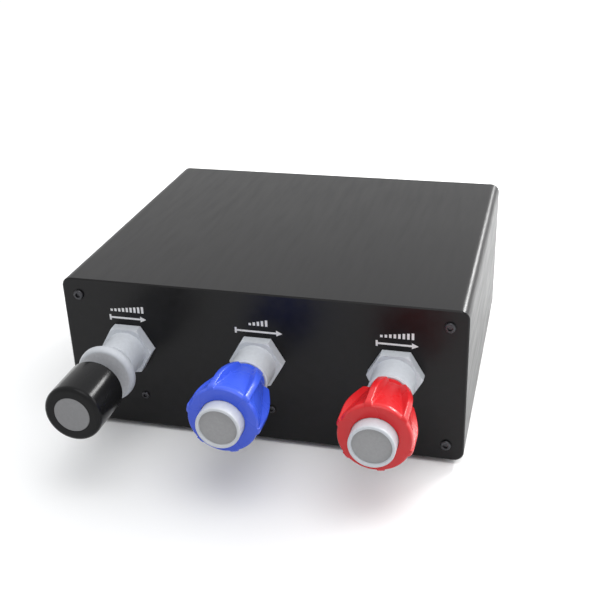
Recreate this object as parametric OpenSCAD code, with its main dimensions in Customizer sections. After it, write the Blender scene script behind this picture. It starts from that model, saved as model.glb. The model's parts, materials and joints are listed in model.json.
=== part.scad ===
// Desktop box with three push-pull engine controls: throttle, propeller and mixture.
// X is to the right, Y to the rear and Z up, in millimetres. The origin is on the desk,
// under the middle of the whole object with its controls pushed in.

/* [Case] */
// Width of the case
case_w = 186; // [182:1:240]
// Height of the case above its feet
case_h = 75; // [73:1:110]
// Depth of the case from its front face to its rear face
case_d = 158; // [150:1:220]
// Radius of the four long edges
case_corner_r = 4.5; // [3:0.5:6]
// Wall of the extruded sleeve
sleeve_wall = 2.5; // [2:0.1:3]
// Thickness of the front and rear panels
panel_t = 3; // [2:0.5:4]
// Chamfer round the outer edge of the panels
panel_chamfer = 0.6; // [0.3:0.1:1]
// Distance of the panel screws from the edges of the case
panel_screw_inset = 8; // [7:0.5:9]
// Diameter of the panel screws' heads
panel_screw_head_d = 4.8; // [4.2:0.2:5.6]
// Diameter of the feet
foot_d = 14; // [10:1:20]
// Height of the feet
foot_h = 2; // [1:0.5:6]
// Distance of the feet from the edges of the case
foot_inset = 22; // [16:1:40]

/* [Controls] */
// Distance of the outer controls from the sides of the case
control_side_room = 30.6; // [28:0.2:36]
// Height of the controls above the middle of the case
axis_rise = 5; // [2:0.5:6]
// How far each control pulls out
travel = 60; // [40:1:64]
// Diameter of the push rods
rod_d = 8; // [7.6:0.2:9]
// Radial clearance where one round piece runs in another
run_gap = 0.06; // [0.03:0.01:0.1]
// Clearance between moving faces that meet at rest
face_gap = 0.4; // [0.3:0.1:0.6]

/* [Bushings] */
// Width of the hexagon across its flats
hex_af = 21.6; // [21:0.2:24]
// Thickness of the hexagon
hex_t = 5; // [4:0.5:7]
// Diameter of the neck
neck_d = 19; // [18:0.5:20]
// Reach of the neck in front of the panel
neck_reach = 19; // [15:1:24]
// Diameter of the threaded barrel that passes through the panel
barrel_d = 16; // [15:0.5:17]
// Reach of the barrel behind the panel's front face
barrel_reach = 24; // [20:1:28]
// Thickness of the nut on the barrel
nut_t = 5; // [4:0.5:7]

/* [Throttle] */
// Diameter of the friction ring at its widest
ring_d = 26.6; // [26:0.2:32]
// Diameter of the friction ring's flat front face
ring_front_d = 24; // [21:0.2:25]
// Length of the friction ring
ring_len = 9; // [8:0.5:12]
// Diameter of the nose that the friction ring turns on
nose_d = 15; // [14.4:0.2:16]
// Diameter of the throttle knob
throttle_knob_d = 25.5; // [22:0.5:30]
// Length of the throttle knob's grip
throttle_knob_len = 23; // [20:0.5:32]
// Diameter of the shank between the friction ring and the grip
shank_d = 10.4; // [10:0.2:14]
// Length of the shank
shank_len = 8.2; // [6:0.2:12]
// Radius of the throttle knob's front edge
throttle_knob_edge_r = 2.5; // [1.5:0.5:3]
// Diameter of the cap in the throttle knob
cap_d = 16; // [12:0.5:17]
// Thickness of the cap
cap_t = 1.5; // [1:0.1:3]

/* [Vernier knobs] */
// Diameter over the lobes
lobe_d = 32; // [31:0.2:36]
// Diameter over the lobes at their rear ends
lobe_rear_d = 23.6; // [21:0.2:26]
// Number of lobes
lobe_count = 6; // [4:1:8]
// Width of a lobe's crest
crest_w = 2.8; // [2:0.2:4]
// Diameter of the knob's neck at the bushing
knob_neck_d = 17.2; // [16:0.2:18]
// Diameter of the knob's flat front face
knob_front_d = 28.6; // [27:0.2:29.4]
// Length of a vernier knob
vernier_len = 32; // [30:0.5:38]
// Diameter of the push button
button_d = 19; // [17:0.5:19.5]
// How far the button stands out in front of its knob
button_out = 6; // [4.6:0.2:8]
// Depth of the dish in the button's face
button_dish = 1.1; // [0.8:0.1:2]
// How far the button presses in
button_travel = 3; // [2:0.5:4]
// Diameter of the plunger behind the button
plunger_d = 3; // [2.4:0.2:3.4]
// Thickness of the button spring's wire
spring_wire_d = 0.8; // [0.6:0.1:1]

/* [Inside] */
// Thickness of the brackets' sheet metal
bracket_t = 2; // [1.5:0.5:2.5]
// Width of the slide potentiometers
pot_w = 9; // [8:0.5:11]
// Thickness of the slide potentiometers
pot_t = 7; // [6.4:0.2:8]
// Length of the carriages on the rods
carriage_len = 10; // [8:0.5:12]
// Width of the control board
board_w = 70; // [60:1:90]
// Depth of the control board
board_d = 46; // [40:1:50]
// Height of the control board's standoffs
standoff_h = 6; // [4:0.5:10]

/* [Hidden] */
$fn = 48;
eps = 0.01;

// Colours
case_black = [0.11, 0.11, 0.12];
screw_black = [0.18, 0.18, 0.19];
pale_grey = [0.76, 0.77, 0.79];
mid_grey = [0.58, 0.58, 0.59];
knob_black = [0.07, 0.07, 0.08];
knob_blue = [0.22, 0.32, 0.88];
knob_red = [0.86, 0.14, 0.16];
steel = [0.72, 0.73, 0.75];
aluminium = [0.80, 0.81, 0.82];
nylon = [0.90, 0.90, 0.86];
board_green = [0.05, 0.35, 0.18];
brass = [0.80, 0.66, 0.30];

// Places of the case
control_pitch = case_w/2 - control_side_room;
case_mid_z = foot_h + case_h/2;
floor_z = foot_h + sleeve_wall;
axis_z = case_mid_z + axis_rise;
throttle_x = -control_pitch;
prop_x = 0;
mixture_x = control_pitch;
control_xs = [throttle_x, prop_x, mixture_x];

// Panel screws and the corner blocks of the sleeve that they bite in
panel_screw_d = 2.5;
panel_screw_len = 12;
panel_screw_head_h = 1.3;
corner_block_r = 4;

// Bracket screws, one below each control
bracket_screw_d = 2;
bracket_screw_head_d = 3.6;
bracket_screw_head_h = 1;
bracket_screw_len = 8;
bracket_screw_x = 5;
bracket_screw_drop = 26;

// Levels along each control's axis, counted outward from the panel's front face
hex_corner_r = hex_af/sqrt(3);
moving_s = neck_reach + face_gap;
ring_front_s = moving_s + ring_len;
ring_wall = 2;
ring_flare = 0.6;
ring_land = 0.6;
ring_lip = 0.3;
ring_bore_r = rod_d/2 + 0.5;
nose_end_s = ring_front_s - ring_wall - face_gap;
knob_rear_edge_r = 1;
collet_seat_s = neck_reach + 1;
collet_r = rod_d/2 + 2;
shank_s = ring_front_s + face_gap;
throttle_knob_s = shank_s + shank_len;
throttle_end_s = throttle_knob_s + throttle_knob_len;
throttle_rod_end_s = throttle_knob_s + 0.5*throttle_knob_len;
nut_s = -panel_t - bracket_t;

// The front and rear faces, with the origin midway between the throttle knob's end and
// the heads of the rear panel's screws
face_y = (throttle_end_s - case_d - panel_screw_head_h)/2;
rear_y = face_y + case_d;

// Levels of a vernier knob
vernier_end_s = moving_s + vernier_len;
shoulder_s = moving_s + 4.6;
lobe_start_s = moving_s + 3;
lobe_rear_edge_r = 1;
lobe_full_s = vernier_end_s - 10.4;
lobe_front_len = 2.2;
lobe_steps = 8;
lobe_base_w = crest_w + 2;
core_rear_r = knob_neck_d/2 + 0.35;
core_front_r = 0.475*lobe_d;
rim_s = vernier_end_s - lobe_front_len;
button_wall = 1.8;
button_disc_t = 2.4;
button_end_s = vernier_end_s + button_out;
button_face_s = button_end_s - button_dish;
button_inner_s = button_face_s - button_disc_t;
button_boss_len = 4;
button_boss_wall = 1.6;
button_bevel = 0.6;
button_dish_r = button_d/2 - 1.4;
button_dish_edge = 0.3;
button_rear_s = vernier_end_s - 8.8;
knob_floor_s = button_rear_s - button_travel - 1.6;
button_gap = 0.25;
mouth_r = button_d/2 + button_gap;
lug_h = 1.4;
lug_w = 4.4;
lug_reach = 1.4;
lug_count = 3;
spigot_d = rod_d - 2;
retainer_t = 1.5;
retainer_r = spigot_d/2 + 2.2;
retainer_s = knob_floor_s + 0.3;
vernier_rod_end_s = retainer_s + retainer_t;
plunger_rear_s = shoulder_s + 4;
plunger_gap = 0.1;
spring_r = retainer_r + 0.8 + spring_wire_d/2;
spring_turns = 6;

// Turn of each knob at rest
prop_turn = 76;
mixture_turn = 70;

// Levels of the rods' inner ends and of what they move, counted rearward
slot_margin = 1;
pot_end_len = 14;
pot_len = travel + 2*pot_end_len;
pot_b = barrel_reach + 2;
pot_mid_b = pot_b + pot_len/2;
carriage_b = pot_mid_b + travel/2;
rod_end_b = carriage_b + carriage_len/2;
pot_screw_b = pot_len/2 - 4;

// Side plate of a bracket, and what sits on it
plate_x = hex_corner_r + 1.2;
plate_outer_x = plate_x + bracket_t;
plate_half_h = 14;
bracket_rear_b = pot_b + pot_len + 4;
bend_inner_r = 1;
bend_outer_r = bend_inner_r + bracket_t;
flange_drop = bracket_screw_drop + 3;
flange_left_x = -hex_corner_r - 0.2;
carriage_r = rod_d/2 + 3;
arm_x = plate_x - 1.2;
arm_w = 7;
grub_d = 3;
blade_w = 4;
blade_t = 1.2;
blade_x = carriage_r + 1;
wiper_w = 8;
pot_skin = 1.2;
pot_room_t = pot_t - pot_skin - 1.2;
pot_room_w = pot_w - 3;
pot_screw_d = 3;
pot_screw_head_d = 5;
pot_screw_head_h = 1.6;

// Control board
board_t = 1.6;
board_rear_y = rear_y - panel_t - 1;
board_front_y = board_rear_y - board_d;
board_z = floor_z + standoff_h;
board_top_z = board_z + board_t;
board_hole_inset = 4;
board_screw_d = 2.5;
board_screw_head_d = 5;
board_screw_head_h = 1.6;
standoff_af = 5.5;
chip_w = 14;
chip_h = 1.6;
usb_w = 12;
usb_h = 11;
usb_len = 16;
usb_wall = 1.6;
usb_depth = 9;
usb_mouth_w = 8.4;
usb_mouth_h = 7.8;
usb_mouth_cut = 2.4;
usb_recess = 0.4;
header_h = 8;
header_w = 8;
header_d = 6;
header_pitch = 22;
header_y = board_front_y + header_d;
wire_d = 3;
wire_ball_d = 1.1*wire_d;
wire_inset = 5;

// ---------- shared shapes ----------

// Local Z runs outward along the axis of the control at x, local Y runs up
module on_axis(x)
    translate([x, face_y, axis_z]) rotate([90, 0, 0]) children();

// Points of an elliptic arc round centre c, from angle a0 to a1
function bow(c, rx, ry, a0, a1, n = 6) =
    [for (i = [0 : n])
        c + [rx*cos(a0 + (a1 - a0)*i/n), ry*sin(a0 + (a1 - a0)*i/n)]];
function arc(c, r, a0, a1, n = 6) = bow(c, r, r, a0, a1, n);

module rounded_rect(w, h, r) {
    square([w - 2*r, h], center = true);
    square([w, h - 2*r], center = true);
    for (sx = [-1, 1], sy = [-1, 1])
        translate([sx*(w/2 - r), sy*(h/2 - r)]) circle(r);
}

// Places of the four panel screws in the X-Z plane
module at_panel_corners()
    for (sx = [-1, 1], sz = [-1, 1])
        translate([sx*(case_w/2 - panel_screw_inset), sz*(case_h/2 - panel_screw_inset)])
            children();

// Extrudes an X-Z outline, centred on the case, from y0 to y1
module along_case(y0, y1)
    translate([0, y1, case_mid_z]) rotate([90, 0, 0]) linear_extrude(y1 - y0) children();

// Screw with a round head and a hexagon socket. The head's underside is at Z 0.
module socket_screw(d, head_d, head_h, len)
    difference() {
        rotate_extrude()
            polygon(concat(
                [[0, -len], [d/2 - 0.3, -len], [d/2, -len + 0.3], [d/2, 0], [head_d/2, 0]],
                arc([head_d/2 - 0.6*head_h, 0.4*head_h], 0.6*head_h, 0, 90, 4),
                [[0, head_h]]));
        translate([0, 0, 0.3*head_h]) cylinder(d = 0.55*head_d, h = head_h, $fn = 6);
    }

// Hexagon prism with its corners chamfered at the far end
module hexagon(af, t) {
    flat_r = 0.53*af;
    intersection() {
        cylinder(d = 2*af/sqrt(3), h = t, $fn = 6);
        rotate_extrude()
            polygon([[0, 0], [af, 0], [af, t - (af - flat_r)*tan(30)], [flat_r, t], [0, t]]);
    }
}

// ---------- case ----------

module corner_blocks()
    for (sx = [-1, 1], sz = [-1, 1])
        scale([sx, sz])
            translate([case_w/2 - panel_screw_inset, case_h/2 - panel_screw_inset]) {
                circle(corner_block_r);
                translate([-corner_block_r, 0])
                    square([panel_screw_inset + corner_block_r - eps, panel_screw_inset - eps]);
                translate([0, -corner_block_r])
                    square([panel_screw_inset - eps, panel_screw_inset + corner_block_r - eps]);
            }

module sleeve_profile()
    difference() {
        rounded_rect(case_w, case_h, case_corner_r);
        difference() {
            rounded_rect(case_w - 2*sleeve_wall, case_h - 2*sleeve_wall,
                         max(case_corner_r - sleeve_wall, 0.5));
            corner_blocks();
        }
        at_panel_corners() circle(d = panel_screw_d);
    }

module case_sleeve()
    color(case_black) along_case(face_y + panel_t, rear_y - panel_t) sleeve_profile();

// Panel outline with a chamfered outer edge on its outward side
module panel_blank()
    difference() {
        linear_extrude(panel_t) rounded_rect(case_w, case_h, case_corner_r);
        for (side = [0, 1])
            mirror([0, side, 0]) chamfer_strip(case_w, case_h/2);
        for (side = [0, 1])
            mirror([side, 0, 0]) rotate([0, 0, 90]) mirror([0, 1, 0])
                chamfer_strip(case_h, case_w/2);
        for (sx = [0, 1], sy = [0, 1])
            mirror([sx, 0, 0]) mirror([0, sy, 0])
                translate([case_w/2 - case_corner_r, case_h/2 - case_corner_r, 0])
                    chamfer_corner();
    }

// Cuts the chamfer along a straight edge of the panel, at distance y
module chamfer_strip(len, y)
    translate([-len/2 + case_corner_r, y, panel_t]) rotate([90, 0, 90])
        linear_extrude(len - 2*case_corner_r)
            polygon([[eps, eps], [-panel_chamfer, eps], [-panel_chamfer, 0],
                     [0, -panel_chamfer], [eps, -panel_chamfer]]);

// Cuts the chamfer round one corner of the panel
module chamfer_corner()
    intersection() {
        rotate_extrude()
            translate([case_corner_r, panel_t])
                polygon([[1, 1], [-panel_chamfer - 1, 1], [0, -panel_chamfer], [1, -panel_chamfer - 1]]);
        cube([case_corner_r + 2, case_corner_r + 2, panel_t + 2]);
    }

module front_panel()
    color(case_black)
        difference() {
            translate([0, face_y + panel_t, case_mid_z]) rotate([90, 0, 0]) panel_blank();
            along_case(face_y - eps, face_y + panel_t + eps)
                at_panel_corners() circle(d = panel_screw_d + 0.4);
            for (x = control_xs)
                on_axis(x) {
                    translate([0, 0, -panel_t - eps])
                        cylinder(d = barrel_d + 0.2, h = panel_t + 2*eps);
                    translate([bracket_screw_x, -bracket_screw_drop, -panel_t - eps])
                        cylinder(d = bracket_screw_d + 0.2, h = panel_t + 2*eps);
                }
        }

module rear_panel()
    color(case_black)
        difference() {
            translate([0, rear_y - panel_t, case_mid_z]) rotate([90, 0, 180]) panel_blank();
            along_case(rear_y - panel_t - eps, rear_y + eps)
                at_panel_corners() circle(d = panel_screw_d + 0.4);
            translate([-usb_w/2 - 0.3, rear_y - panel_t - eps, board_top_z - 0.3])
                cube([usb_w + 0.6, panel_t + 2*eps, usb_h + 0.6]);
        }

module front_panel_screws()
    color(screw_black)
        translate([0, face_y, case_mid_z]) rotate([90, 0, 0])
            at_panel_corners()
                socket_screw(panel_screw_d, panel_screw_head_d, panel_screw_head_h,
                             panel_screw_len);

module rear_panel_screws()
    color(screw_black)
        translate([0, rear_y, case_mid_z]) rotate([90, 0, 180])
            at_panel_corners()
                socket_screw(panel_screw_d, panel_screw_head_d, panel_screw_head_h,
                             panel_screw_len);

module foot(sx, sy)
    color(screw_black)
        translate([sx*(case_w/2 - foot_inset),
                   face_y + case_d/2 + sy*(case_d/2 - foot_inset), 0])
            rotate_extrude()
                polygon([[0, 0], [foot_d/2 - 1, 0], [foot_d/2 - 0.3, 0.4*foot_h],
                         [foot_d/2, foot_h], [0, foot_h]]);

// ---------- bushings ----------

module bushing(x, nosed)
    color(pale_grey)
        on_axis(x)
            difference() {
                union() {
                    hexagon(hex_af, hex_t);
                    rotate_extrude()
                        polygon([[0, -barrel_reach], [barrel_d/2 - 0.8, -barrel_reach],
                                 [barrel_d/2, -barrel_reach + 0.8], [barrel_d/2, 0],
                                 [neck_d/2, 0], [neck_d/2, neck_reach - 0.6],
                                 [neck_d/2 - 0.6, neck_reach], [0, neck_reach]]);
                    if (nosed) cylinder(d = nose_d, h = nose_end_s);
                }
                translate([0, 0, -barrel_reach - eps])
                    cylinder(r = rod_d/2 + run_gap, h = barrel_reach + nose_end_s + 1);
                if (nosed)
                    translate([0, 0, collet_seat_s]) cylinder(r = collet_r, h = ring_len);
            }

module bushing_nuts()
    color(steel)
        for (x = control_xs)
            on_axis(x)
                translate([0, 0, nut_s - nut_t])
                    difference() {
                        cylinder(r = hex_corner_r, h = nut_t, $fn = 6);
                        translate([0, 0, -eps]) cylinder(d = barrel_d + 0.1, h = nut_t + 1);
                    }

module friction_collet()
    color(nylon)
        on_axis(throttle_x)
            translate([0, 0, collet_seat_s])
                difference() {
                    cylinder(r = collet_r - 0.05, h = nose_end_s - collet_seat_s + 0.1);
                    translate([0, 0, -eps]) cylinder(r = rod_d/2 + run_gap, h = ring_len);
                    for (a = [0, 90])
                        rotate([0, 0, a])
                            translate([-collet_r, -0.4, 1.2]) cube([2*collet_r, 0.8, ring_len]);
                }

// ---------- throttle ----------

// The ring's flare runs from the neck to its widest, then rounds over to its front face
module friction_ring() {
    rear_r = neck_d/2 + ring_lip;
    rim_s = moving_s + ring_flare*ring_len;
    round_len = ring_front_s - rim_s - ring_land;
    color(pale_grey)
        on_axis(throttle_x)
            rotate_extrude()
                polygon(concat(
                    bow([ring_d/2, moving_s], rear_r - ring_d/2, rim_s - moving_s, 0, 90),
                    bow([ring_front_d/2, rim_s + ring_land],
                        (ring_d - ring_front_d)/2, round_len, 0, 90),
                    [[ring_bore_r, ring_front_s], [ring_bore_r, ring_front_s - ring_wall],
                     [nose_d/2 + run_gap, ring_front_s - ring_wall],
                     [nose_d/2 + run_gap, moving_s]]));
}

module throttle_rod()
    color(steel)
        on_axis(throttle_x)
            translate([0, 0, -rod_end_b])
                cylinder(d = rod_d, h = rod_end_b + throttle_rod_end_s);

module throttle_knob()
    color(knob_black)
        on_axis(throttle_x)
            rotate_extrude()
                polygon(concat(
                    [[rod_d/2, shank_s], [shank_d/2, shank_s], [shank_d/2, throttle_knob_s]],
                    arc([throttle_knob_d/2 - knob_rear_edge_r,
                         throttle_knob_s + knob_rear_edge_r], knob_rear_edge_r, -90, 0, 4),
                    arc([throttle_knob_d/2 - throttle_knob_edge_r,
                         throttle_end_s - throttle_knob_edge_r],
                        throttle_knob_edge_r, 0, 90, 8),
                    [[cap_d/2, throttle_end_s], [cap_d/2, throttle_end_s - cap_t],
                     [0, throttle_end_s - cap_t], [0, throttle_rod_end_s],
                     [rod_d/2, throttle_rod_end_s]]));

module throttle_cap()
    color(mid_grey)
        on_axis(throttle_x)
            translate([0, 0, throttle_end_s - cap_t]) cylinder(d = cap_d, h = cap_t);

// ---------- vernier controls ----------

module vernier_rod(x)
    color(steel)
        on_axis(x)
            rotate_extrude()
                polygon([[0, -rod_end_b], [rod_d/2, -rod_end_b], [rod_d/2, shoulder_s],
                         [spigot_d/2, shoulder_s], [spigot_d/2, vernier_rod_end_s],
                         [plunger_d/2 + plunger_gap, vernier_rod_end_s],
                         [plunger_d/2 + plunger_gap, plunger_rear_s - button_travel - 1],
                         [0, plunger_rear_s - button_travel - 1]]);

module retainer(x)
    color(steel)
        on_axis(x)
            translate([0, 0, retainer_s])
                difference() {
                    cylinder(r = retainer_r, h = retainer_t);
                    translate([0, 0, -eps]) cylinder(d = spigot_d, h = retainer_t + 1);
                }

// Outline over the lobes: rounded rear ends, a slow flare and a short front shoulder
module lobe_outline()
    polygon(concat(
        [[0, moving_s], [knob_neck_d/2, moving_s], [knob_neck_d/2, lobe_start_s]],
        arc([lobe_rear_d/2 - lobe_rear_edge_r, lobe_start_s + lobe_rear_edge_r],
            lobe_rear_edge_r, -90, -20, 4),
        [for (i = [1 : lobe_steps])
            [lobe_rear_d/2 + (lobe_d - lobe_rear_d)/2*sin(90*i/lobe_steps),
             lobe_start_s + lobe_rear_edge_r
             + (lobe_full_s - lobe_start_s - lobe_rear_edge_r)*i/lobe_steps]],
        bow([knob_front_d/2, rim_s], (lobe_d - knob_front_d)/2, lobe_front_len, 0, 90),
        [[0, vernier_end_s]]));

// Outline of the knob between its lobes: a straight flare from the neck to the rim
module core_outline()
    polygon(concat(
        [[0, moving_s], [knob_neck_d/2, moving_s], [knob_neck_d/2, lobe_start_s],
         [core_rear_r, lobe_start_s]],
        bow([knob_front_d/2, rim_s], core_front_r - knob_front_d/2, lobe_front_len, 0, 90),
        [[0, vernier_end_s]]));

// Lobes that taper a little toward their crests
module lobes(turn)
    intersection() {
        rotate_extrude() lobe_outline();
        for (i = [0 : lobe_count - 1])
            rotate([0, 0, turn + (i + 0.5)*360/lobe_count])
                translate([0, 0, lobe_start_s])
                    linear_extrude(vernier_len)
                        polygon([[0, -lobe_base_w/2], [core_rear_r, -lobe_base_w/2],
                                 [lobe_d/2, -crest_w/2], [lobe_d/2 + 1, -crest_w/2],
                                 [lobe_d/2 + 1, crest_w/2], [lobe_d/2, crest_w/2],
                                 [core_rear_r, lobe_base_w/2], [0, lobe_base_w/2]]);
    }

module vernier_knob(x, turn)
    on_axis(x)
        difference() {
            union() {
                rotate_extrude() core_outline();
                lobes(turn);
            }
            rotate_extrude()
                polygon([[0, moving_s - 1], [rod_d/2 + run_gap, moving_s - 1],
                         [rod_d/2 + run_gap, shoulder_s + 0.3],
                         [spigot_d/2 + run_gap, shoulder_s + 0.3],
                         [spigot_d/2 + run_gap, knob_floor_s], [mouth_r, knob_floor_s],
                         [mouth_r, vernier_end_s + 1], [0, vernier_end_s + 1]]);
            lugs(turn, lug_w + 0.6, 0, lug_reach + 0.3,
                 knob_floor_s + 1, button_rear_s + lug_h + 0.3);
        }

// Lugs that hold the button in its knob, under every second lobe
module lugs(turn, w, inner_r, reach, s0, s1)
    for (i = [0 : lug_count - 1])
        rotate([0, 0, turn + (0.5 + i*round(lobe_count/lug_count))*360/lobe_count])
            translate([inner_r, -w/2, s0])
                cube([button_d/2 + reach - inner_r, w, s1 - s0]);

module button(x, turn) {
    plunger_r = plunger_d/2;
    wall_r = button_d/2 - button_wall;
    boss_r = plunger_r + button_boss_wall;
    boss_s = button_inner_s - button_boss_len;
    color(pale_grey)
        on_axis(x) {
            rotate_extrude()
                polygon([[wall_r, button_rear_s], [button_d/2, button_rear_s],
                         [button_d/2, button_end_s - button_bevel],
                         [button_d/2 - button_bevel, button_end_s],
                         [button_dish_r + button_dish_edge, button_end_s],
                         [button_dish_r, button_end_s - button_dish_edge],
                         [button_dish_r, button_face_s + button_dish_edge],
                         [button_dish_r - button_dish_edge, button_face_s],
                         [0, button_face_s],
                         [0, button_inner_s], [plunger_r, button_inner_s],
                         [plunger_r, boss_s], [boss_r, boss_s], [boss_r, button_inner_s],
                         [wall_r, button_inner_s]]);
            lugs(turn, lug_w, button_d/2 - 1, lug_reach, button_rear_s + 0.2,
                 button_rear_s + lug_h);
        }
}

module plunger(x)
    color(steel)
        on_axis(x)
            translate([0, 0, plunger_rear_s])
                cylinder(d = plunger_d, h = button_inner_s - plunger_rear_s);

// Wire wound round the control's axis, from the knob's floor to the button
spring_sides = 6;
spring_steps = 10;
spring_rings = spring_turns*spring_steps;
spring_s0 = knob_floor_s + spring_wire_d/2;
spring_s1 = button_inner_s - spring_wire_d/2;
function spring_point(i, j) =
    let (a = 360*i/spring_steps, b = 360*j/spring_sides,
         r = spring_r + spring_wire_d/2*cos(b))
    [r*cos(a), r*sin(a),
     spring_s0 + (spring_s1 - spring_s0)*i/spring_rings + spring_wire_d/2*sin(b)];
module spring(x)
    color(steel)
        on_axis(x)
            polyhedron(
                points = [for (i = [0 : spring_rings], j = [0 : spring_sides - 1])
                    spring_point(i, j)],
                faces = concat(
                    [[for (j = [0 : spring_sides - 1]) j]],
                    [for (i = [0 : spring_rings - 1], j = [0 : spring_sides - 1])
                        let (n = spring_sides, k = (j + 1) % n)
                        [n*i + j, n*(i + 1) + j, n*(i + 1) + k, n*i + k]],
                    [[for (j = [spring_sides - 1 : -1 : 0]) spring_rings*spring_sides + j]]));

// ---------- inside ----------

module bracket_screws()
    color(screw_black)
        for (x = control_xs)
            on_axis(x)
                translate([bracket_screw_x, -bracket_screw_drop, 0])
                    socket_screw(bracket_screw_d, bracket_screw_head_d,
                                 bracket_screw_head_h, bracket_screw_len);

// Bent sheet: a flange behind the panel and a side plate that carries the potentiometer
module bracket(x)
    color(aluminium)
        on_axis(x)
            difference() {
                union() {
                    translate([flange_left_x, -flange_drop, -panel_t - bracket_t])
                        cube([plate_x - 1.5 - flange_left_x, flange_drop + plate_half_h,
                              bracket_t]);
                    translate([0, -plate_half_h, -panel_t - bracket_t])
                        cube([plate_outer_x - bend_outer_r, 2*plate_half_h, bracket_t]);
                    bracket_bend();
                    side_plate();
                }
                translate([0, 0, -panel_t - bracket_t - eps])
                    cylinder(d = barrel_d + 0.2, h = bracket_t + 2*eps);
                translate([bracket_screw_x, -bracket_screw_drop, -panel_t - bracket_t - eps])
                    cylinder(d = bracket_screw_d, h = bracket_t + 2*eps);
                side_plate_slot();
                for (side = [-1, 1])
                    translate([plate_x - 1, 0, -pot_mid_b - side*pot_screw_b])
                        rotate([0, 90, 0]) cylinder(d = pot_screw_d + 0.2, h = bracket_t + 2);
            }

module bracket_bend()
    translate([plate_outer_x - bend_outer_r, plate_half_h, -panel_t - bend_outer_r])
        rotate([90, 0, 0])
            intersection() {
                difference() {
                    cylinder(r = bend_outer_r, h = 2*plate_half_h);
                    translate([0, 0, -eps]) cylinder(r = bend_inner_r, h = 2*plate_half_h + 1);
                }
                cube([bend_outer_r, bend_outer_r, 2*plate_half_h]);
            }

module side_plate() {
    corner_r = 4;
    front_b = panel_t + bend_outer_r;
    translate([plate_x, -plate_half_h, -bracket_rear_b + corner_r])
        cube([bracket_t, 2*plate_half_h, bracket_rear_b - corner_r - front_b]);
    translate([plate_x, -plate_half_h + corner_r, -bracket_rear_b])
        cube([bracket_t, 2*(plate_half_h - corner_r), corner_r]);
    for (side = [-1, 1])
        translate([plate_x, side*(plate_half_h - corner_r), -bracket_rear_b + corner_r])
            rotate([0, 90, 0]) cylinder(r = corner_r, h = bracket_t);
}

module side_plate_slot()
    translate([plate_x - 1, -blade_t/2 - 1, -pot_mid_b - travel/2 - blade_w/2 - slot_margin])
        cube([bracket_t + 2, blade_t + 2, travel + blade_w + 2*slot_margin]);

module pot(x)
    color(steel)
        on_axis(x)
            difference() {
                translate([plate_outer_x, -pot_w/2, -pot_b - pot_len])
                    cube([pot_t, pot_w, pot_len]);
                translate([plate_outer_x - eps, -blade_t/2 - 0.3,
                           -pot_mid_b - travel/2 - blade_w/2 - slot_margin])
                    cube([pot_skin + 2*eps, blade_t + 0.6, travel + blade_w + 2*slot_margin]);
                translate([plate_outer_x + pot_skin, -pot_room_w/2,
                           -pot_mid_b - travel/2 - wiper_w/2 - slot_margin])
                    cube([pot_room_t, pot_room_w, travel + wiper_w + 2*slot_margin]);
                for (side = [-1, 1])
                    translate([plate_outer_x - eps, 0, -pot_mid_b - side*pot_screw_b])
                        rotate([0, 90, 0]) cylinder(d = pot_screw_d, h = 4);
            }

module pot_screws()
    color(steel)
        for (x = control_xs, side = [-1, 1])
            on_axis(x)
                translate([plate_x, 0, -pot_mid_b - side*pot_screw_b])
                    rotate([0, -90, 0])
                        socket_screw(pot_screw_d, pot_screw_head_d, pot_screw_head_h,
                                     bracket_t + 3.6);

module carriage(x)
    color(nylon)
        on_axis(x)
            translate([0, 0, -carriage_b - carriage_len/2])
                difference() {
                    union() {
                        cylinder(r = carriage_r, h = carriage_len);
                        translate([0, -arm_w/2, 0]) cube([arm_x, arm_w, carriage_len]);
                    }
                    translate([0, 0, -eps]) cylinder(d = rod_d, h = carriage_len + 1);
                    translate([blade_x, -blade_t/2, carriage_len/2 - blade_w/2])
                        cube([arm_x, blade_t, blade_w]);
                    translate([0, 0, carriage_len/2]) rotate([-90, 0, 0])
                        cylinder(d = grub_d, h = carriage_r + 1);
                }

module grub_screw(x)
    color(screw_black)
        on_axis(x)
            translate([0, rod_d/2, -carriage_b]) rotate([-90, 0, 0])
                difference() {
                    cylinder(d = grub_d, h = carriage_r - rod_d/2 - 0.3);
                    translate([0, 0, 1.2]) cylinder(d = 1.7, h = 3, $fn = 6);
                }

module slider(x)
    color(brass)
        on_axis(x)
            translate([0, 0, -carriage_b]) {
                translate([blade_x, -blade_t/2, -blade_w/2])
                    cube([plate_outer_x + pot_skin + 1 - blade_x, blade_t, blade_w]);
                translate([plate_outer_x + pot_skin + 0.4, -pot_room_w/2 + 0.4, -wiper_w/2])
                    cube([pot_room_t - 0.8, pot_room_w - 0.8, wiper_w]);
            }

// Places of the board's four screws
module at_board_corners()
    for (sx = [-1, 1], y = [board_front_y + board_hole_inset, board_rear_y - board_hole_inset])
        translate([sx*(board_w/2 - board_hole_inset), y, 0]) children();

module control_board()
    color(board_green)
        difference() {
            translate([-board_w/2, board_front_y, board_z]) cube([board_w, board_d, board_t]);
            at_board_corners()
                translate([0, 0, board_z - eps])
                    cylinder(d = board_screw_d + 0.2, h = board_t + 2*eps);
        }

module board_standoffs()
    color(brass)
        at_board_corners()
            translate([0, 0, floor_z])
                difference() {
                    cylinder(d = 2*standoff_af/sqrt(3), h = standoff_h, $fn = 6);
                    translate([0, 0, 1]) cylinder(d = board_screw_d, h = standoff_h);
                }

module board_screws()
    color(steel)
        at_board_corners()
            translate([0, 0, board_top_z])
                socket_screw(board_screw_d, board_screw_head_d, board_screw_head_h,
                             board_t + standoff_h - 1.6);

module controller_chip()
    color(screw_black)
        translate([-chip_w/2, board_front_y + board_d/2 - 0.6*chip_w, board_top_z])
            cube([chip_w, chip_w, chip_h]);

module wire_headers()
    color(nylon)
        for (i = [-1 : 1])
            translate([header_pitch*i - header_w/2, header_y - header_d/2, board_top_z])
                cube([header_w, header_d, header_h]);

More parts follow.
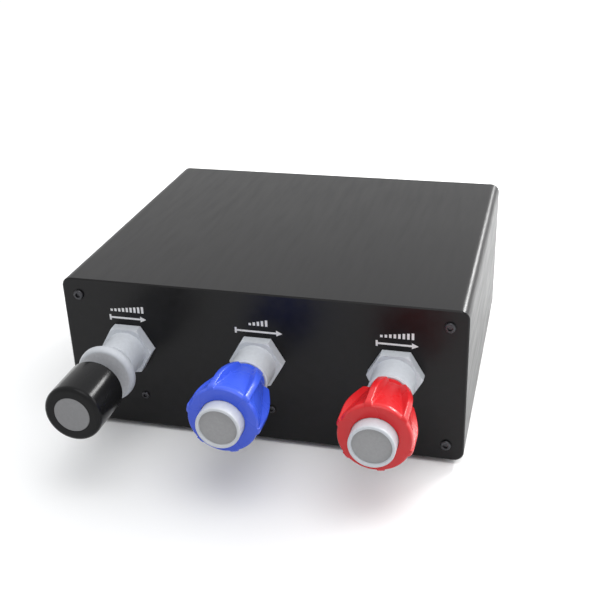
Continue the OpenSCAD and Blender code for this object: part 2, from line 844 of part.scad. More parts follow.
// Square socket for a data cable, its mouth with two corners cut
module usb_socket()
    color(steel)
        translate([-usb_w/2, rear_y - usb_recess - usb_len, board_top_z])
            difference() {
                cube([usb_w, usb_len, usb_h]);
                translate([usb_w/2, usb_len + eps, usb_wall]) rotate([90, 0, 0])
                    linear_extrude(usb_depth)
                        polygon([[-usb_mouth_w/2, 0], [usb_mouth_w/2, 0],
                                 [usb_mouth_w/2, usb_mouth_h - usb_mouth_cut],
                                 [usb_mouth_w/2 - 0.7*usb_mouth_cut, usb_mouth_h],
                                 [-usb_mouth_w/2 + 0.7*usb_mouth_cut, usb_mouth_h],
                                 [-usb_mouth_w/2, usb_mouth_h - usb_mouth_cut]]);
            }

// Wires from a potentiometer's terminals to its header: round stretches between balls
function harness_route(x, i) =
    let (px = x + plate_outer_x + pot_t/2, py = face_y + pot_b + pot_len - wire_inset,
         pz = axis_z - pot_w/2, hx = header_pitch*i, hz = board_top_z + header_h)
    [[px, py, pz], [px, py, hz + 2*wire_d], [hx, header_y, hz + 1.4*wire_d],
     [hx, header_y, hz]];
module harness(x, i) {
    route = harness_route(x, i);
    color([0.75, 0.1, 0.1])
        for (k = [0 : len(route) - 2]) {
            span = route[k + 1] - route[k];
            translate(route[k]) {
                rotate([0, acos(span.z/norm(span)), atan2(span.y, span.x)])
                    cylinder(d = wire_d, h = norm(span), $fn = 24);
                if (k > 0) sphere(d = wire_ball_d, $fn = 24);
            }
        }
}

// ---------- pieces ----------

case_sleeve();
front_panel();
rear_panel();
front_panel_screws();
rear_panel_screws();
foot(-1, -1);  // foot_front_left
foot(1, -1);  // foot_front_right
foot(-1, 1);  // foot_rear_left
foot(1, 1);  // foot_rear_right
bushing(throttle_x, true);  // throttle_bushing
bushing(prop_x, false);  // prop_bushing
bushing(mixture_x, false);  // mixture_bushing
bushing_nuts();
bracket_screws();
bracket(throttle_x);  // throttle_bracket
bracket(prop_x);  // prop_bracket
bracket(mixture_x);  // mixture_bracket
pot(throttle_x);  // throttle_pot
pot(prop_x);  // prop_pot
pot(mixture_x);  // mixture_pot
pot_screws();
control_board();
board_standoffs();
board_screws();
controller_chip();
wire_headers();
usb_socket();
harness(throttle_x, -1);  // throttle_harness
harness(prop_x, 0);  // prop_harness
harness(mixture_x, 1);  // mixture_harness
friction_collet();
friction_ring();
throttle_rod();
throttle_knob();
throttle_cap();
carriage(throttle_x);  // throttle_carriage
grub_screw(throttle_x);  // throttle_grub_screw
slider(throttle_x);  // throttle_slider
vernier_rod(prop_x);  // prop_rod
retainer(prop_x);  // prop_retainer
carriage(prop_x);  // prop_carriage
grub_screw(prop_x);  // prop_grub_screw
slider(prop_x);  // prop_slider
color(knob_blue) vernier_knob(prop_x, prop_turn);  // prop_knob
button(prop_x, prop_turn);  // prop_button
plunger(prop_x);  // prop_plunger
spring(prop_x);  // prop_spring
vernier_rod(mixture_x);  // mixture_rod
retainer(mixture_x);  // mixture_retainer
carriage(mixture_x);  // mixture_carriage
grub_screw(mixture_x);  // mixture_grub_screw
slider(mixture_x);  // mixture_slider
color(knob_red) vernier_knob(mixture_x, mixture_turn);  // mixture_knob
button(mixture_x, mixture_turn);  // mixture_button
plunger(mixture_x);  // mixture_plunger
spring(mixture_x);  // mixture_spring
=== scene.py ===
"""Looks of the push-pull control box: finer knobs, printed marks, materials, floor and light."""
import json
import math

import bpy
import bmesh
from mathutils import Matrix, Vector

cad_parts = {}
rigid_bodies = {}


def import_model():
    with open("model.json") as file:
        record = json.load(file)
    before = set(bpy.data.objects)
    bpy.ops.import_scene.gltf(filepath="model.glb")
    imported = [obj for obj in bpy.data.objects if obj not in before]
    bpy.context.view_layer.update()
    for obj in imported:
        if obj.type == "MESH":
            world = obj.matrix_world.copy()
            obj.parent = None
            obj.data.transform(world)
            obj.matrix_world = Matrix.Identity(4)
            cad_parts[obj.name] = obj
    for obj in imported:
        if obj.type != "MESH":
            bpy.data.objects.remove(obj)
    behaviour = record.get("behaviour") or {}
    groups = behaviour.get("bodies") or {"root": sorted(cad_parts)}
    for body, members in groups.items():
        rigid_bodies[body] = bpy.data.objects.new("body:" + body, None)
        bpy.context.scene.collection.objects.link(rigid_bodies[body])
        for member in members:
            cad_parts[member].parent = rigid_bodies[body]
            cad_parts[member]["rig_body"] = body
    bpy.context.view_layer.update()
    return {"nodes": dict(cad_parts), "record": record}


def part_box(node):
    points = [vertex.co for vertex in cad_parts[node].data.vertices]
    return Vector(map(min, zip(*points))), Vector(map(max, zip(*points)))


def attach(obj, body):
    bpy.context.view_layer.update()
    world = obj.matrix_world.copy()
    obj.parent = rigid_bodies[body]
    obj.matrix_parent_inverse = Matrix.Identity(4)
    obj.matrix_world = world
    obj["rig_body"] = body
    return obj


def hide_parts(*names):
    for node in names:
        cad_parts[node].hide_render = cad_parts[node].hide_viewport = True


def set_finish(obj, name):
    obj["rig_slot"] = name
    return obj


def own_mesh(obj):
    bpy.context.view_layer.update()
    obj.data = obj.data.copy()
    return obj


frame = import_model()
nodes = frame["nodes"]

MM = 0.001

# ---------- places read from the frame ----------


def axis_of(node):
    """Centre of a node in X and Z, which is its control's axis."""
    low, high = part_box(node)
    return (low.x + high.x) / 2, (low.z + high.z) / 2


FACE_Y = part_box("front_panel")[0].y
THROTTLE = axis_of("throttle_cap")
PROP = axis_of("prop_plunger")
MIXTURE = axis_of("mixture_plunger")


def out_of(node):
    """How far a node starts and ends in front of the panel, in mm."""
    low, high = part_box(node)
    return (FACE_Y - high.y) / MM, (FACE_Y - low.y) / MM


# ---------- materials ----------


def new_material(name, colour, roughness, metallic=0.0, specular=0.5):
    """A plain material, with its node tree and its shader."""
    mat = bpy.data.materials.new(name)
    mat.use_nodes = True
    shader = mat.node_tree.nodes["Principled BSDF"]
    shader.inputs["Base Color"].default_value = (*colour, 1)
    shader.inputs["Roughness"].default_value = roughness
    shader.inputs["Metallic"].default_value = metallic
    shader.inputs["Specular IOR Level"].default_value = specular
    return mat, mat.node_tree, shader


NOISE_LOW, NOISE_HIGH = 0.3, 0.7
BUMP_STRENGTH = 0.3


def map_range(tree, from_min, from_max, to_min, to_max):
    """A node that maps one range of values on to another."""
    node = tree.nodes.new("ShaderNodeMapRange")
    node.inputs["From Min"].default_value = from_min
    node.inputs["From Max"].default_value = from_max
    node.inputs["To Min"].default_value = to_min
    node.inputs["To Max"].default_value = to_max
    return node


def grain(tree, shader, scale, dark, light, low_rough, high_rough, bump=0.0, stretch=(1, 1, 1),
          detail=4.0):
    """Varies colour, roughness and height with one noise in object coordinates."""
    coords = tree.nodes.new("ShaderNodeTexCoord")
    mapping = tree.nodes.new("ShaderNodeMapping")
    mapping.inputs["Scale"].default_value = stretch
    noise = tree.nodes.new("ShaderNodeTexNoise")
    noise.inputs["Scale"].default_value = scale
    noise.inputs["Detail"].default_value = detail
    tree.links.new(coords.outputs["Object"], mapping.inputs["Vector"])
    tree.links.new(mapping.outputs["Vector"], noise.inputs["Vector"])
    ramp = tree.nodes.new("ShaderNodeValToRGB")
    ramp.color_ramp.elements[0].position = NOISE_LOW
    ramp.color_ramp.elements[1].position = NOISE_HIGH
    ramp.color_ramp.elements[0].color = (*dark, 1)
    ramp.color_ramp.elements[1].color = (*light, 1)
    tree.links.new(noise.outputs["Fac"], ramp.inputs["Fac"])
    tree.links.new(ramp.outputs["Color"], shader.inputs["Base Color"])
    spread = map_range(tree, NOISE_LOW, NOISE_HIGH, low_rough, high_rough)
    tree.links.new(noise.outputs["Fac"], spread.inputs["Value"])
    tree.links.new(spread.outputs["Result"], shader.inputs["Roughness"])
    if bump:
        bumps = tree.nodes.new("ShaderNodeBump")
        bumps.inputs["Strength"].default_value = BUMP_STRENGTH
        bumps.inputs["Distance"].default_value = bump
        tree.links.new(noise.outputs["Fac"], bumps.inputs["Height"])
        tree.links.new(bumps.outputs["Normal"], shader.inputs["Normal"])


def grained(name, colour, roughness, spread=0.08, contrast=0.12, scale=900, bump=0.0,
            metallic=0.0, specular=0.5, stretch=(1, 1, 1), detail=4.0):
    """A material whose colour and roughness vary a little round the values given."""
    mat, tree, shader = new_material(name, colour, roughness, metallic, specular)
    dark = [c * (1 - contrast) for c in colour]
    light = [min(1, c * (1 + contrast)) for c in colour]
    grain(tree, shader, scale, dark, light, roughness - spread, roughness + spread, bump, stretch,
          detail)
    return mat


CASE = grained("case_black", (0.0047, 0.0045, 0.0051), roughness=0.33, spread=0.04, contrast=0.2,
               scale=260, bump=0.000006, specular=0.235, stretch=(1, 0.12, 1))
SCREW = grained("screw_black", (0.055, 0.055, 0.06), roughness=0.3, spread=0.05, contrast=0.2,
                scale=1500, metallic=0.9)
RUBBER = grained("foot_rubber", (0.02, 0.02, 0.02), roughness=0.85, spread=0.05, contrast=0.2,
                 scale=1200, bump=0.00003)
PALE = grained("pale_grey", (0.60, 0.625, 0.66), roughness=0.34, spread=0.05, contrast=0.04,
               scale=700)
RING = grained("ring_grey", (0.49, 0.51, 0.54), roughness=0.38, spread=0.05, contrast=0.04,
               scale=700)
# Painted shading: a separate grey for the friction ring's forward-facing front, set for how light
# falls on it.
RING_FRONT_PAINTED_SHADING = grained("ring_front_painted_shading", (0.58, 0.59, 0.61), roughness=0.5, spread=0.06,
                     contrast=0.06, scale=900)
CAP = grained("cap_grey", (0.225, 0.225, 0.23), roughness=0.5, spread=0.05, contrast=0.05,
              scale=900)
# Painted shade: a darker grey on the button's forward-facing dish, standing for the shade on that
# face.
DISH_PAINTED_SHADE = grained("button_dish_painted_shade", (0.32, 0.32, 0.325), roughness=0.5, spread=0.05, contrast=0.05,
               scale=900)
BLACK = grained("knob_black", (0.009, 0.009, 0.0095), roughness=0.19, spread=0.02, contrast=0.05,
                scale=500, specular=0.13)
BLUE = grained("knob_blue", (0.043, 0.102, 0.70), roughness=0.27, spread=0.02, contrast=0.03,
               scale=60, specular=0.42, detail=1.0)
RED = grained("knob_red", (0.62, 0.012, 0.016), roughness=0.27, spread=0.02, contrast=0.03,
              scale=60, specular=0.42, detail=1.0)
STEEL = grained("rod_steel", (0.55, 0.56, 0.58), roughness=0.3, spread=0.06, contrast=0.08,
                scale=400, metallic=1.0, stretch=(1, 14, 1))
SHEET = grained("sheet_aluminium", (0.68, 0.69, 0.70), roughness=0.4, spread=0.08, contrast=0.06,
                scale=300, metallic=1.0, stretch=(1, 10, 1))
NYLON = grained("nylon_white", (0.72, 0.72, 0.66), roughness=0.5, spread=0.06, contrast=0.04,
                scale=600)
BOARD = grained("board_green", (0.006, 0.10, 0.03), roughness=0.35, spread=0.05, contrast=0.25,
                scale=350)
BRASS = grained("brass", (0.60, 0.40, 0.12), roughness=0.32, spread=0.06, contrast=0.08,
                scale=500, metallic=1.0)
WIRE = grained("wire_red", (0.42, 0.015, 0.015), roughness=0.5, spread=0.05, contrast=0.1,
               scale=500)
PRINT = grained("label_white", (0.80, 0.80, 0.80), roughness=0.55, spread=0.05, contrast=0.04,
                scale=900)

BY_SLOT = {"case_black": CASE, "screw_black": SCREW, "foot_rubber": RUBBER, "pale_grey": PALE,
           "cap_grey": CAP, "knob_black": BLACK, "knob_blue": BLUE, "knob_red": RED,
           "rod_steel": STEEL, "sheet_aluminium": SHEET, "nylon_white": NYLON,
           "board_green": BOARD, "brass": BRASS, "wire_red": WIRE}


def smooth(obj, degrees=32):
    """Shades smooth and marks the edges over an angle as sharp."""
    mesh = obj.data
    work = bmesh.new()
    work.from_mesh(mesh)
    for face in work.faces:
        face.smooth = True
    limit = math.radians(degrees)
    for edge in work.edges:
        edge.smooth = not (len(edge.link_faces) == 2 and edge.calc_face_angle(0) > limit)
    work.to_mesh(mesh)
    work.free()


for part in frame["record"]["subparts"]:
    obj = nodes[part["node"]]
    obj.data.materials.clear()
    obj.data.materials.append(BY_SLOT[part["material_slot"]])
    smooth(obj)
    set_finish(obj, part["material_slot"])

# ---------- pieces finer than the solids ----------
# Outlines are in mm: s in front of the panel, and r from the control's axis.


def on_axis(control, s, u, v):
    """Point at distance s in front of the panel, u to the right and v up from an axis, in mm."""
    return Vector((control[0] + u * MM, FACE_Y - s * MM, control[1] + v * MM))


def mix(a, b, t):
    """The value a share t of the way from a to b."""
    return a + (b - a) * t


def link(name, data):
    """A new object in the scene, made of a mesh, light or camera."""
    obj = bpy.data.objects.new(name, data)
    bpy.context.scene.collection.objects.link(obj)
    return obj


EDGE_SHARE = 0.49


def fillet(points, radii, steps=6):
    """Rounds the corners of an open outline. points are (r, s), radii one for each point."""
    out = []
    for i, (p, radius) in enumerate(zip(points, radii)):
        here = Vector(p)
        if i == 0 or i == len(points) - 1 or radius == 0:
            out.append(here)
            continue
        back = Vector(points[i - 1]) - here
        on = Vector(points[i + 1]) - here
        bend = math.acos(max(-1, min(1, back.normalized().dot(on.normalized()))))
        reach = min(radius / math.tan(bend / 2), EDGE_SHARE * back.length, EDGE_SHARE * on.length)
        a, b = here + back.normalized() * reach, here + on.normalized() * reach
        for k in range(steps + 1):
            t = k / steps
            out.append(a.lerp(here, t).lerp(here.lerp(b, t), t))
    return out


def solid(name, verts, faces):
    """A mesh piece with its faces turned outward."""
    mesh = bpy.data.meshes.new(name)
    mesh.from_pydata(verts, [], faces)
    work = bmesh.new()
    work.from_mesh(mesh)
    bmesh.ops.recalc_face_normals(work, faces=work.faces)
    work.to_mesh(mesh)
    work.free()
    return link(name, mesh)


def turned(name, control, outline, sides=128, closed=True):
    """Turns an outline of (r, s) points round a control's axis."""
    verts, faces, rings = [], [], []
    for r, s in outline:
        if r < 1e-6:
            rings.append([len(verts)])
            verts.append(on_axis(control, s, 0, 0))
        else:
            rings.append(list(range(len(verts), len(verts) + sides)))
            for k in range(sides):
                a = 2 * math.pi * k / sides
                verts.append(on_axis(control, s, r * math.cos(a), r * math.sin(a)))
    pairs = list(zip(rings, rings[1:])) + ([(rings[-1], rings[0])] if closed else [])
    for a, b in pairs:
        for k in range(sides):
            n = (k + 1) % sides
            if len(a) == 1 and len(b) == 1:
                continue
            if len(a) == 1:
                faces.append((a[0], b[n], b[k]))
            elif len(b) == 1:
                faces.append((a[k], a[n], b[0]))
            else:
                faces.append((a[k], a[n], b[n], b[k]))
    obj = solid(name, verts, faces)
    smooth(obj, degrees=38)
    return obj


def dress(obj, node, material):
    """The piece takes over from a CAD node: its body, slot and a material."""
    obj.data.materials.append(material)
    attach(obj, nodes[node]["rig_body"])
    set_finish(obj, nodes[node]["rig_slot"])
    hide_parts(node)
    return obj


def paint(obj, material, test):
    """Gives a second material to the faces that pass a test on their centre and normal."""
    obj.data.materials.append(material)
    index = len(obj.data.materials) - 1
    for face in obj.data.polygons:
        if test(face.center, face.normal):
            face.material_index = index


# The bushings keep their solids. The moving pieces in front of them are turned more finely.

RING_REAR_S, RING_END_S = out_of("friction_ring")
SHANK_S, GRIP_END_S = out_of("throttle_knob")
KNOB_REAR_S, KNOB_END_S = out_of("prop_knob")
BUTTON_REAR_S, BUTTON_END_S = out_of("prop_button")
ROD_R, RUN_R = 4.0, 4.06
# Keeps a piece clear of its seat, and two rings of one outline apart.
HAIR = 0.02

RING_WIDE_R, RING_FRONT_R, RING_NECK_R = 13.3, 11.5, 9.8
RING_MOUTH_R, RING_BORE_R = 4.5, 7.56
FLARE_LEN, RIM_LEN, LIP_T = 5.4, 0.6, 2.0
FLARE_STEPS, ROUND_STEPS = 12, 10
BAND_START, FRONT_PAINT_DEPTH = 0.1, 0.05


def friction_ring():
    """The flared ring. Its rounded front has its own grey: painted shading, set for how light
    falls on that face.
    """
    wide_s = RING_REAR_S + FLARE_LEN
    round_s = wide_s + RIM_LEN
    lip_s = RING_END_S - LIP_T
    flare = [(mix(RING_NECK_R, RING_WIDE_R, 1 - math.cos(a)),
              RING_REAR_S + FLARE_LEN * math.sin(a))
             for a in (math.pi / 2 * i / FLARE_STEPS for i in range(FLARE_STEPS))]
    front = [(mix(RING_FRONT_R, RING_WIDE_R, math.cos(a)), mix(round_s, RING_END_S, math.sin(a)))
             for a in (math.pi / 2 * i / ROUND_STEPS for i in range(ROUND_STEPS + 1))]
    outline = flare + [(RING_WIDE_R, wide_s + BAND_START)] + front + [
        (RING_MOUTH_R, RING_END_S), (RING_MOUTH_R, lip_s),
        (RING_BORE_R, lip_s), (RING_BORE_R, RING_REAR_S)]
    obj = dress(turned("ring_turned", THROTTLE, outline), "friction_ring", RING)
    # The faces that look forward get the painted shading.
    front_y = FACE_Y - (RING_END_S - FRONT_PAINT_DEPTH) * MM
    paint(obj, RING_FRONT_PAINTED_SHADING, lambda c, n: c.y < front_y and n.y < -0.9)


GRIP_LEN, SHANK_R = 23, 5.2
BLIND_LEN = 11.5
CAP_R, CAP_T, CAP_ROUND = 8, 1.5, 0.35
# Radii of the outline's corners, from the shank's rear to the cap's edge.
GRIP_ROUNDS = (0, 0.4, 0.6, 1.2, 2.8, 0)


def throttle_knob():
    """The cylinder with a rounded front edge, and the cap in its end."""
    low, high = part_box("throttle_knob")
    radius = (high.x - low.x) / 2 / MM
    grip_s = GRIP_END_S - GRIP_LEN
    seat_s = GRIP_END_S - CAP_T
    bore_s = GRIP_END_S - BLIND_LEN
    outer = fillet(
        [(ROD_R, SHANK_S), (SHANK_R, SHANK_S), (SHANK_R, grip_s), (radius, grip_s),
         (radius, GRIP_END_S), (CAP_R, GRIP_END_S)],
        GRIP_ROUNDS, steps=8)
    outline = [(v.x, v.y) for v in outer] + [
        (CAP_R, seat_s), (0, seat_s), (0, bore_s), (ROD_R, bore_s)]
    dress(turned("throttle_knob_turned", THROTTLE, outline), "throttle_knob", BLACK)
    edge_r = CAP_R - HAIR
    cap = fillet([(0, GRIP_END_S), (edge_r, GRIP_END_S), (edge_r, seat_s), (0, seat_s)],
                 (0, CAP_ROUND, 0, 0), steps=4)
    dress(turned("cap_turned", THROTTLE, [(v.x, v.y) for v in cap], closed=False),
          "throttle_cap", CAP)


BUTTON_R, BUTTON_WALL_R = 9.5, 7.7
DISH_R, DISH_DEPTH, DISH_T = 8.1, 1.1, 2.4
BOSS_R, BOSS_LEN, PIN_R = 3.1, 4, 1.5
# Radii of the outline's corners, from the wall's rear to the middle of the dish.
BUTTON_ROUNDS = (0, 0.3, 0.7, 0.4, 0.4, 0)
DISH_PAINT_DEPTH = 0.3


def button(name, control):
    """The cup-shaped button with a shallow dish, and a boss for its plunger."""
    face_s = BUTTON_END_S - DISH_DEPTH
    inner_s = face_s - DISH_T
    boss_s = inner_s - BOSS_LEN
    outer = fillet(
        [(BUTTON_WALL_R, BUTTON_REAR_S), (BUTTON_R, BUTTON_REAR_S), (BUTTON_R, BUTTON_END_S),
         (DISH_R, BUTTON_END_S), (DISH_R, face_s), (0, face_s)],
        BUTTON_ROUNDS)
    outline = [(v.x, v.y) for v in outer] + [
        (0, inner_s), (PIN_R, inner_s), (PIN_R, boss_s), (BOSS_R, boss_s),
        (BOSS_R, inner_s), (BUTTON_WALL_R, inner_s)]
    obj = dress(turned(name + "_turned", control, outline), name, PALE)
    # The floor of the dish gets the darker grey as painted shade.
    dish_y = FACE_Y - (face_s + DISH_PAINT_DEPTH) * MM
    back_y = FACE_Y - (face_s - DISH_PAINT_DEPTH) * MM
    paint(obj, DISH_PAINTED_SHADE, lambda c, n: dish_y < c.y < back_y and n.y < -0.5)


LOBES = 6
LOBE_R, LOBE_REAR_R = 16.0, 11.8
NECK_R, NECK_LEN = 8.6, 3
CORE_REAR_R, CORE_FRONT_R = 8.95, 15.2
BASE_HALF_W, CREST_HALF_W = 2.4, 1.4
FRONT_R, FRONT_LEN = 14.3, 2.2
MOUTH_R = 9.75
CREST_ROUND, FLOOR_ROUND = 0.7, 1.1
FLOOR_START, FLOOR_POINTS = 0.35, 5
STEP_LEN, FULL_LEN = 1, 10.4
START_S = KNOB_REAR_S + NECK_LEN
STEP_S = START_S + STEP_LEN
FULL_S = KNOB_END_S - FULL_LEN
RIM_S = KNOB_END_S - FRONT_LEN


def shoulder_r(s, full_r):
    """Radius over the knob's rounded front edge, which starts at full_r."""
    t = (s - RIM_S) / FRONT_LEN
    return FRONT_R + (full_r - FRONT_R) * math.sqrt(max(0, 1 - t * t))


def lobe_r(s):
    """Radius over the lobes at distance s in front of the panel."""
    if s < STEP_S:
        left = 1 - max(0, s - START_S) / STEP_LEN
        return mix(NECK_R, LOBE_REAR_R, math.sqrt(1 - left ** 2))
    if s < FULL_S:
        return mix(LOBE_REAR_R, LOBE_R, math.sin(math.pi / 2 * (s - STEP_S) / (FULL_S - STEP_S)))
    return LOBE_R if s < RIM_S else shoulder_r(s, LOBE_R)


def core_r(s):
    """Radius between the lobes."""
    if s < RIM_S:
        return mix(CORE_REAR_R, CORE_FRONT_R, (s - START_S) / (RIM_S - START_S))
    return shoulder_r(s, CORE_FRONT_R)


def half_width(r):
    """Half of a lobe's width at radius r, as its sides lean in."""
    return mix(BASE_HALF_W, CREST_HALF_W, (r - CORE_REAR_R) / (LOBE_R - CORE_REAR_R))


def half_lobe(s):
    """Half of a lobe's section: from its crest down its side to the middle of the floor."""
    core = core_r(s)
    crest = max(core + HAIR, lobe_r(s))
    top_w, foot_w = half_width(crest), half_width(core)
    pitch = math.pi / LOBES
    turn = math.asin(foot_w / core)
    near = mix(turn, pitch, FLOOR_START)
    points = fillet(
        [(0, crest), (top_w, math.sqrt(crest ** 2 - top_w ** 2)),
         (foot_w, math.sqrt(core ** 2 - foot_w ** 2)),
         (core * math.sin(near), core * math.cos(near))],
        (0, CREST_ROUND, FLOOR_ROUND, 0))
    polar = [(v.length, math.atan2(v.x, v.y)) for v in points]
    return polar + [(core, mix(near, pitch, i / FLOOR_POINTS)) for i in range(1, FLOOR_POINTS + 1)]


STEP_RINGS, ALONG_RINGS, FRONT_RINGS = 6, 72, 10
SPRING_ROOM = 4.6
NECK_WALL, TIGHTER = 4.9, 1


def vernier_knob(name, control, turn_degrees, material):
    """A knob with a lobed outside, turned by turn_degrees, and a stepped bore."""
    stations = [START_S + STEP_LEN * (1 - math.cos(math.pi / 2 * i / STEP_RINGS))
                for i in range(STEP_RINGS + 1)]
    stations += [mix(STEP_S, RIM_S, i / ALONG_RINGS) for i in range(1, ALONG_RINGS + 1)]
    stations += [RIM_S + FRONT_LEN * math.sin(math.pi / 2 * i / FRONT_RINGS)
                 for i in range(1, FRONT_RINGS + 1)]
    pitch = 2 * math.pi / LOBES
    rings = []
    for s in stations:
        half = half_lobe(s)
        lobe = [(r, -a) for r, a in half[:0:-1]] + half[:-1]
        rings.append([(r, math.radians(turn_degrees) + pitch * (i + 0.5) + a, s)
                      for i in range(LOBES) for r, a in lobe])
    angles = [a for r, a, s in rings[0]]
    sides = len(angles)
    floor_s = BUTTON_REAR_S - SPRING_ROOM
    wall_s = KNOB_REAR_S + NECK_WALL
    tight_r = RUN_R - TIGHTER
    rear = [(RUN_R, KNOB_REAR_S), (NECK_R, KNOB_REAR_S), (NECK_R, START_S - HAIR)]
    bore = [(MOUTH_R, KNOB_END_S), (MOUTH_R, floor_s), (tight_r, floor_s),
            (tight_r, wall_s), (RUN_R, wall_s)]
    rings = ([[(r, a, s) for a in angles] for r, s in rear] + rings
             + [[(r, a, s) for a in angles] for r, s in bore])
    verts = [on_axis(control, s, r * math.cos(a), r * math.sin(a))
             for ring in rings for r, a, s in ring]
    faces = []
    for i in range(len(rings)):
        n = (i + 1) % len(rings)
        for k in range(sides):
            m = (k + 1) % sides
            faces.append((i * sides + k, i * sides + m, n * sides + m, n * sides + k))
    obj = solid(name + "_lobed", verts, faces)
    smooth(obj, degrees=50)
    dress(obj, name, material)


SPRING_R, WIRE_R, SPRING_TURNS = 6.4, 0.4, 6
WIRE_STEPS, WIRE_SIDES = 36, 10


def spring(name, control):
    """A coil spring from a knob's floor to its button."""
    rear_s, front_s = out_of(name)
    steps, sides = SPRING_TURNS * WIRE_STEPS, WIRE_SIDES
    verts = []
    for i in range(steps + 1):
        t = i / steps
        a = 2 * math.pi * SPRING_TURNS * t
        middle = mix(rear_s + WIRE_R, front_s - WIRE_R, t)
        for k in range(sides):
            b = 2 * math.pi * k / sides
            r = SPRING_R + WIRE_R * math.cos(b)
            verts.append(on_axis(control, middle + WIRE_R * math.sin(b), r * math.cos(a),
                                 r * math.sin(a)))
    faces = [list(range(sides)), [steps * sides + k for k in range(sides)][::-1]]
    for i in range(steps):
        here, on = i * sides, (i + 1) * sides
        for k in range(sides):
            m = (k + 1) % sides
            faces.append((here + k, on + k, on + m, here + m))
    obj = solid(name + "_coiled", verts, faces)
    smooth(obj, degrees=60)
    dress(obj, name, STEEL)
    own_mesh(obj)


PROP_TURN, MIXTURE_TURN = 76, 70

friction_ring()
throttle_knob()
button("prop_button", PROP)
button("mixture_button", MIXTURE)
spring("prop_spring", PROP)
spring("mixture_spring", MIXTURE)
vernier_knob("prop_knob", PROP, PROP_TURN, BLUE)
vernier_knob("mixture_knob", MIXTURE, MIXTURE_TURN, RED)

# ---------- printed marks, plain shapes in place of words ----------

PRINT_T = 0.06


def flat_print(name, control, polygons):
    """Thin print on the panel. polygons are lists of (u, v) round a control's axis, in mm."""
    verts, faces = [], []
    for polygon in polygons:
        n, base = len(polygon), len(verts)
        for depth in (0.0, PRINT_T):
            verts += [on_axis(control, depth, u, v) for u, v in polygon]
        faces.append([base + i for i in range(n)][::-1])
        faces.append([base + n + i for i in range(n)])
        faces += [(base + i, base + (i + 1) % n, base + n + (i + 1) % n, base + n + i)
                  for i in range(n)]
    obj = solid(name, verts, faces)
    obj.data.materials.append(PRINT)
    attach(obj, "root")
    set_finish(obj, "pale_grey")


TICK_PITCH, TICK_W = 1.9, 1.1
ARROW_W, LINE_W = 1.4, 0.9
TICK_FOOT, ARROW_MIDDLE = 0.58, 0.17


def marks(name, control, middle, tick_width, arrow_width, low, high):
    """Rising ticks over an arrow, which say that the control has a range and a way."""
    foot = mix(low, high, TICK_FOOT)
    count = round(tick_width / TICK_PITCH)
    polygons = []
    for i in range(count):
        u = middle - tick_width / 2 + tick_width * (i + 0.5) / count
        top = mix(foot + TICK_W, high, i / (count - 1))
        polygons.append([(u - TICK_W / 2, foot), (u + TICK_W / 2, foot),
                         (u + TICK_W / 2, top), (u - TICK_W / 2, top)])
    v = mix(low, high, ARROW_MIDDLE)
    left, right = middle - arrow_width / 2, middle + arrow_width / 2
    neck = right - 2 * ARROW_W
    line = LINE_W / 2
    polygons.append([(left + LINE_W, v - line), (neck, v - line), (neck, v + line),
                     (left + LINE_W, v + line)])
    polygons.append([(neck, v - ARROW_W), (right, v), (neck, v + ARROW_W)])
    polygons.append([(left, v - ARROW_W), (left + LINE_W, v - ARROW_W),
                     (left + LINE_W, v + ARROW_W), (left, v + ARROW_W)])
    flat_print(name, control, polygons)


marks("throttle_marks", THROTTLE,
      middle=0.5, tick_width=17.0, arrow_width=18.0, low=13.0, high=20.8)
marks("prop_marks", PROP,
      middle=0.6, tick_width=9.5, arrow_width=22.0, low=12.5, high=19.8)
marks("mixture_marks", MIXTURE,
      middle=0.2, tick_width=15.5, arrow_width=18.5, low=12.6, high=20.0)

# ---------- floor, light and camera ----------

FLOOR_HALF, FLOOR_Z = 6, -0.0002
FLOOR_SEEN, FLOOR_SENT_UP = (0.98, 0.98, 0.97, 1), (0.60, 0.60, 0.60, 1)
SKY_WAY, SKY_COLOUR = (0.15, 0.5, 0.85), (0.97, 0.98, 1.0, 1)

# The floor looks pale to the camera and in reflections. The light it sends up is toned down.
FLOOR_PALE, floor_tree, floor_shader = new_material("floor_pale", (0.94, 0.94, 0.94), 0.8)
floor_rays = floor_tree.nodes.new("ShaderNodeLightPath")
floor_tone = floor_tree.nodes.new("ShaderNodeMix")
floor_tone.data_type = "RGBA"
floor_tone.inputs["A"].default_value = FLOOR_SEEN
floor_tone.inputs["B"].default_value = FLOOR_SENT_UP
floor_tree.links.new(floor_rays.outputs["Is Diffuse Ray"], floor_tone.inputs["Factor"])
floor_tree.links.new(floor_tone.outputs["Result"], floor_shader.inputs["Base Color"])
floor_mesh = bpy.data.meshes.new("floor")
floor_mesh.from_pydata([(-FLOOR_HALF, -FLOOR_HALF, 0), (FLOOR_HALF, -FLOOR_HALF, 0),
                        (FLOOR_HALF, FLOOR_HALF, 0), (-FLOOR_HALF, FLOOR_HALF, 0)],
                       [], [(0, 1, 2, 3)])
floor_mesh.materials.append(FLOOR_PALE)
floor = link("floor", floor_mesh)
floor.location = (0, 0, FLOOR_Z)

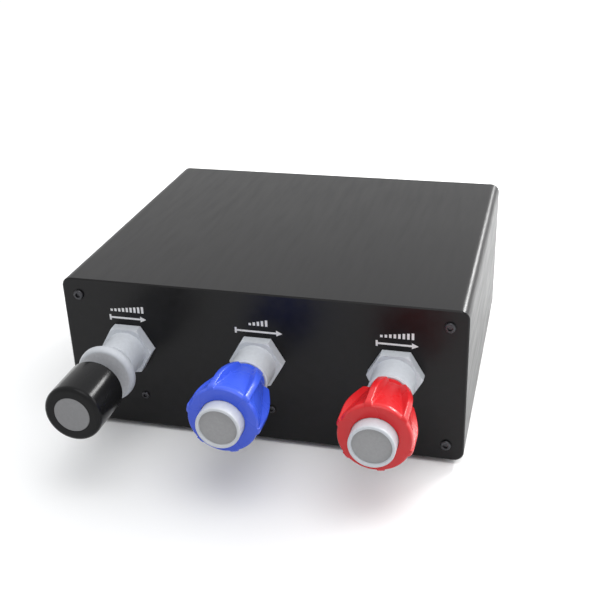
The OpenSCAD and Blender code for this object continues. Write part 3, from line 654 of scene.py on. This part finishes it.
# The sky is brighter above and behind. The camera and reflections see plain white.
world = bpy.data.worlds.new("studio")
world.use_nodes = True
bpy.context.scene.world = world
tree = world.node_tree
background = tree.nodes["Background"]
heading = tree.nodes.new("ShaderNodeTexCoord")
height = tree.nodes.new("ShaderNodeVectorMath")
height.operation = "DOT_PRODUCT"
height.inputs[1].default_value = SKY_WAY
strength = map_range(tree, from_min=-0.45, from_max=0.6, to_min=0.1, to_max=1.15)
tree.links.new(heading.outputs["Generated"], height.inputs[0])
tree.links.new(height.outputs["Value"], strength.inputs["Value"])
tree.links.new(strength.outputs["Result"], background.inputs["Strength"])
background.inputs["Color"].default_value = SKY_COLOUR
white = tree.nodes.new("ShaderNodeBackground")
white.inputs["Color"].default_value = (1, 1, 1, 1)
white.inputs["Strength"].default_value = 1
rays = tree.nodes.new("ShaderNodeLightPath")
sees_white = rays.outputs["Is Camera Ray"]
for kind in ("Is Glossy Ray", "Is Transmission Ray"):
    either = tree.nodes.new("ShaderNodeMath")
    either.operation = "MAXIMUM"
    tree.links.new(sees_white, either.inputs[0])
    tree.links.new(rays.outputs[kind], either.inputs[1])
    sees_white = either.outputs["Value"]
choose = tree.nodes.new("ShaderNodeMixShader")
tree.links.new(sees_white, choose.inputs["Fac"])
tree.links.new(background.outputs["Background"], choose.inputs[1])
tree.links.new(white.outputs["Background"], choose.inputs[2])
tree.links.new(choose.outputs["Shader"], tree.nodes["World Output"].inputs["Surface"])


def lamp(name, place, aim, size, power, size_y=None, roll=0):
    """An area lamp, square unless size_y is given, rolled round its aim in degrees."""
    data = bpy.data.lights.new(name, "AREA")
    data.energy = power
    data.size = size
    if size_y:
        data.shape = "RECTANGLE"
        data.size_y = size_y
    obj = link(name, data)
    obj.location = place
    turn = (Vector(aim) - Vector(place)).to_track_quat("-Z", "Y").to_matrix()
    obj.rotation_euler = (turn @ Matrix.Rotation(math.radians(roll), 3, "Z")).to_euler()


AIM = (0, 0, 0.04)
KNOB_SIDE = (-0.0535, -0.1, 0.0537)
lamp("key", (0.25, -0.35, 1.1), AIM, size=0.8, power=4)
# A long lamp, which shows as a thin streak along the black knob's side.
lamp("strip", (0.508, 0.766, 0.561), KNOB_SIDE, size=0.14, power=8, size_y=0.6, roll=56)
lamp("right", (1.2, 0.5, 0.5), AIM, size=0.8, power=4)

SENSOR, LENS = 36, 58.5
CAMERA_PLACE = (0.1212, FACE_Y - 0.3625, 0.2616)
CAMERA_TURN = (63.71, 1.90, 14.62)

camera_data = bpy.data.cameras.new("camera")
camera_data.sensor_width = SENSOR
camera_data.lens = LENS
camera = link("camera", camera_data)
camera.location = CAMERA_PLACE
camera.rotation_euler = [math.radians(a) for a in CAMERA_TURN]
bpy.context.scene.camera = camera
bpy.context.scene.view_settings.view_transform = "Standard"
